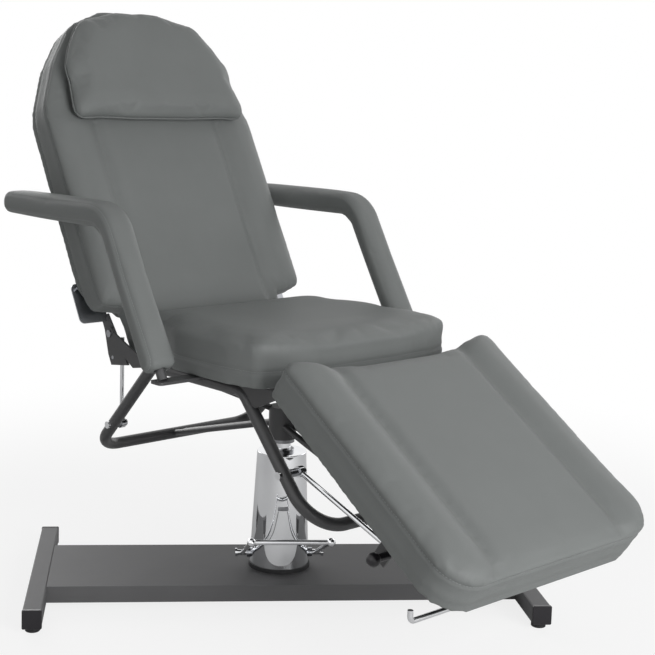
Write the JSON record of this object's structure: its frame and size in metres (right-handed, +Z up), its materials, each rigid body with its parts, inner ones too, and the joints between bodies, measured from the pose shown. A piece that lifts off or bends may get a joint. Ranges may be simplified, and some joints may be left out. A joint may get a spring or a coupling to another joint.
{
  "type": "treatment chair",
  "caption": "Hydraulic treatment chair with padded reclining back, head pillow, lifting leg rest, side arm pads, swivelling tube frame, chromed pump and low beam base",
  "frame": {"origin": "on the floor, under the middle of the chair's length and width; the pump axis stands 32 mm behind it", "axes": "+Z up, -Y ahead of the chair (towards the leg rest), +X to the sitter's left"},
  "size_m": [1.1768, 1.4596, 1.2731],
  "materials": {
    "faux_leather": "soft, slightly pebbled, low sheen",
    "base_paint": "satin powder coat",
    "frame_paint": "satin powder coat",
    "chrome": "polished",
    "dark_steel": "machined",
    "zinc": "zinc plated",
    "black_plastic": "moulded",
    "black_rubber": "matt",
    "plywood": "raw board"
  },
  "bodies": {
    "base": {"base_channel": "base_paint", "cross_tube_left": "base_paint", "cross_tube_right": "base_paint", "tube_end_caps": "black_plastic", "floor_pads": "black_rubber", "pump_barrel": "dark_steel", "pump_bolts": "zinc", "pump_nuts": "zinc", "pump_gasket": "black_rubber", "pump_cover": "chrome", "cover_lid": "chrome", "ram_gland": "dark_steel", "pedal_bushes": "zinc"},
    "pedal": {"pedal_arms": "chrome", "pedal_bar": "chrome"},
    "ram": {"lift_ram": "chrome", "swivel_collar": "dark_steel"},
    "seat_frame": {"swivel_hub": "frame_paint", "frame_rear_hoop": "frame_paint", "frame_front_hoop": "frame_paint", "frame_rail_left": "frame_paint", "frame_rail_right": "frame_paint", "hub_side_struts": "frame_paint", "hub_end_struts": "frame_paint", "seat_cushion": "faux_leather", "seat_board": "plywood", "seat_tabs": "frame_paint", "seat_screws": "zinc", "arm_pad_left": "faux_leather", "arm_pad_right": "faux_leather", "arm_bars": "frame_paint", "arm_brackets": "frame_paint", "back_hinge_uprights": "frame_paint", "rod_pivot_bolts": "chrome", "rod_spacers": "zinc", "leg_hinge_brackets": "frame_paint"},
    "backrest": {"back_arm_left": "frame_paint", "back_arm_right": "frame_paint", "back_hinge_pins": "zinc", "back_corner_plates": "zinc", "back_screws": "zinc", "back_cushion": "faux_leather", "back_board": "plywood", "head_pillow": "faux_leather", "back_clamp_stud": "zinc"},
    "back_rod": {"back_rod": "chrome"},
    "back_clamp": {"back_clamp": "zinc"},
    "back_knob": {"back_knob": "black_plastic"},
    "legrest": {"leg_cushion": "faux_leather", "leg_board": "plywood", "leg_screws": "zinc", "leg_rails": "frame_paint", "leg_hinge_ears": "frame_paint", "leg_hinge_pins": "zinc", "leg_bracket": "frame_paint"},
    "leg_rod": {"leg_rod": "chrome"},
    "leg_knob": {"leg_knob": "black_plastic"}
  },
  "joints": [
    {"name": "pedal_press", "type": "hinge", "parent": "base", "child": "pedal", "pos_m": [0, 0.03193, 0.077], "axis": [0.809, -0.5878, 0], "range_deg": [0, 20], "stiffness_Nm_per_rad": 6, "springref_deg": -20.05},
    {"name": "seat_lift", "type": "slide", "parent": "base", "child": "ram", "axis": [0, 0, 1], "range_m": [0, 0.15]},
    {"name": "seat_swivel", "type": "hinge", "parent": "ram", "child": "seat_frame", "pos_m": [0, 0.03193, 0.335], "axis": [0, 0, 1], "continuous": true},
    {"name": "back_recline", "type": "hinge", "parent": "seat_frame", "child": "backrest", "pos_m": [0, 0.34793, 0.54], "axis": [-1, 0, 0], "range_deg": [0, 61.6]},
    {"name": "back_rod_swing", "type": "hinge", "parent": "seat_frame", "child": "back_rod", "pos_m": [-0.206, 0.34393, 0.33406], "axis": [-1, 0, 0], "range_deg": [-14.2, 0.2]},
    {"name": "back_clamp_turn", "type": "hinge", "parent": "backrest", "child": "back_clamp", "pos_m": [-0.206, 0.34393, 0.486], "axis": [-1, 0, 0], "range_deg": [-76, 0.2]},
    {"name": "back_knob_turn", "type": "hinge", "parent": "back_clamp", "child": "back_knob", "pos_m": [-0.19, 0.34393, 0.486], "axis": [1, 0, 0], "continuous": true},
    {"name": "leg_lift", "type": "hinge", "parent": "seat_frame", "child": "legrest", "pos_m": [0, -0.23007, 0.51], "axis": [-1, 0, 0], "range_deg": [-10, 34.5]},
    {"name": "leg_rod_swing", "type": "hinge", "parent": "seat_frame", "child": "leg_rod", "pos_m": [-0.188, -0.23007, 0.34965], "axis": [-1, 0, 0], "range_deg": [-10.8, 36.8]},
    {"name": "leg_knob_turn", "type": "hinge", "parent": "legrest", "child": "leg_knob", "pos_m": [-0.241, -0.48664, 0.25592], "axis": [1, 0, 0], "continuous": true}
  ],
  "couplings": [
    {"joint": "back_rod_swing", "follows": "back_recline", "ratio": -0.225},
    {"joint": "back_clamp_turn", "follows": "back_recline", "ratio": -1.225},
    {"joint": "leg_rod_swing", "follows": "leg_lift", "ratio": 1.06}
  ]
}
